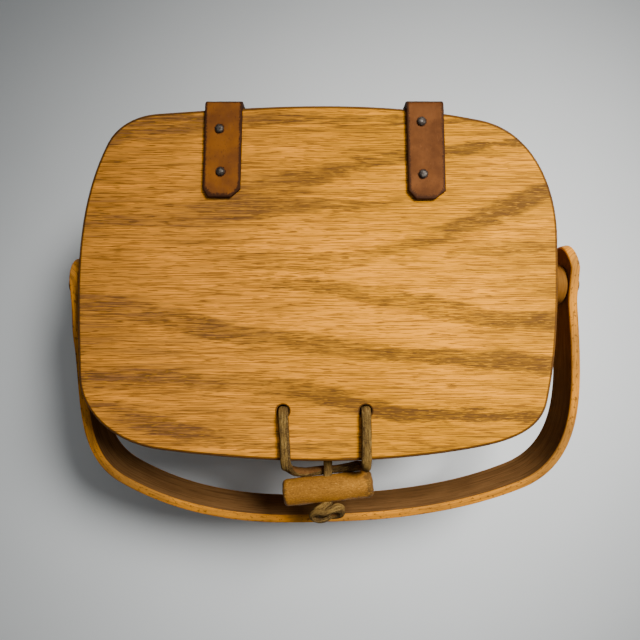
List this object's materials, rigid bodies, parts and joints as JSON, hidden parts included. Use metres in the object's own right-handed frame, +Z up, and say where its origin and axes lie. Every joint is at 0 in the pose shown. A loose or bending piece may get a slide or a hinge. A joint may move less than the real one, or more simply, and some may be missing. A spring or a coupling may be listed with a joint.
{
  "type": "lidded basket",
  "caption": "Round-cornered woven basket with bentwood hoops, an oak lid on leather strap hinges, a swing handle and a peg-and-loop closure.",
  "frame": {"origin": "centre of the basket's bottom face", "axes": "+Z up through the lid, +X to the right along the basket's length, -Y towards the peg at the front"},
  "size_m": [0.2772, 0.2297, 0.1195],
  "materials": {
    "oak": "golden oak with dark pores and a satin varnish",
    "bentwood": "honey-brown bent oak with a satin varnish",
    "splint": "flat oiled ash splint, dull",
    "peg_wood": "turned honey-coloured wood, satin",
    "strap_leather": "tan saddle leather with dark burnished edges",
    "lace_leather": "olive-brown suede lace",
    "nail_steel": "dark domed steel nail heads",
    "rivet_metal": "dark browned metal, domed"
  },
  "bodies": {
    "basket": {"base_board": "oak", "woven_wall": "splint", "rim_hoop_outer": "bentwood", "rim_hoop_inner": "bentwood", "rim_filler": "splint", "hinge_strap_left": "strap_leather", "hinge_strap_right": "strap_leather", "rim_nail_1": "nail_steel", "rim_nail_2": "nail_steel", "rim_nail_3": "nail_steel", "rim_nail_4": "nail_steel", "rim_nail_5": "nail_steel", "rim_nail_6": "nail_steel", "rim_nail_7": "nail_steel", "rim_nail_8": "nail_steel", "rim_nail_9": "nail_steel", "rim_nail_10": "nail_steel", "strap_nail_1": "nail_steel", "strap_nail_2": "nail_steel", "strap_nail_3": "nail_steel", "strap_nail_4": "nail_steel", "base_nail_1": "nail_steel", "base_nail_2": "nail_steel", "base_nail_3": "nail_steel", "base_nail_4": "nail_steel", "base_nail_5": "nail_steel", "base_nail_6": "nail_steel", "base_nail_7": "nail_steel", "base_nail_8": "nail_steel", "ear_disc_left": "bentwood", "ear_disc_right": "bentwood", "pivot_rivet_left": "rivet_metal", "pivot_rivet_right": "rivet_metal", "rivet_burr_left": "rivet_metal", "rivet_burr_right": "rivet_metal", "toggle_lace": "lace_leather"},
    "lid": {"oak_lid": "oak", "lid_nail_1": "nail_steel", "lid_nail_2": "nail_steel", "lid_nail_3": "nail_steel", "lid_nail_4": "nail_steel", "lid_loop_lace": "lace_leather"},
    "handle": {"handle_bow": "bentwood"},
    "toggle": {"toggle_peg": "peg_wood"}
  },
  "joints": [
    {"name": "lid_hinge", "type": "hinge", "parent": "basket", "child": "lid", "pos_m": [0, 0.0912, 0.1077], "axis": [-1, 0, 0], "range_deg": [0, 180], "deforming": ["hinge_strap_left", "hinge_strap_right", "lid_loop_lace"]},
    {"name": "handle_swing", "type": "hinge", "parent": "basket", "child": "handle", "pos_m": [0, 0, 0.0962], "axis": [-1, 0, 0], "range_deg": [-25, 230]},
    {"name": "toggle_turn", "type": "hinge", "parent": "basket", "child": "toggle", "pos_m": [0.002, -0.1089, 0.101], "axis": [0, 1, 0], "range_deg": [-90, 90]}
  ]
}
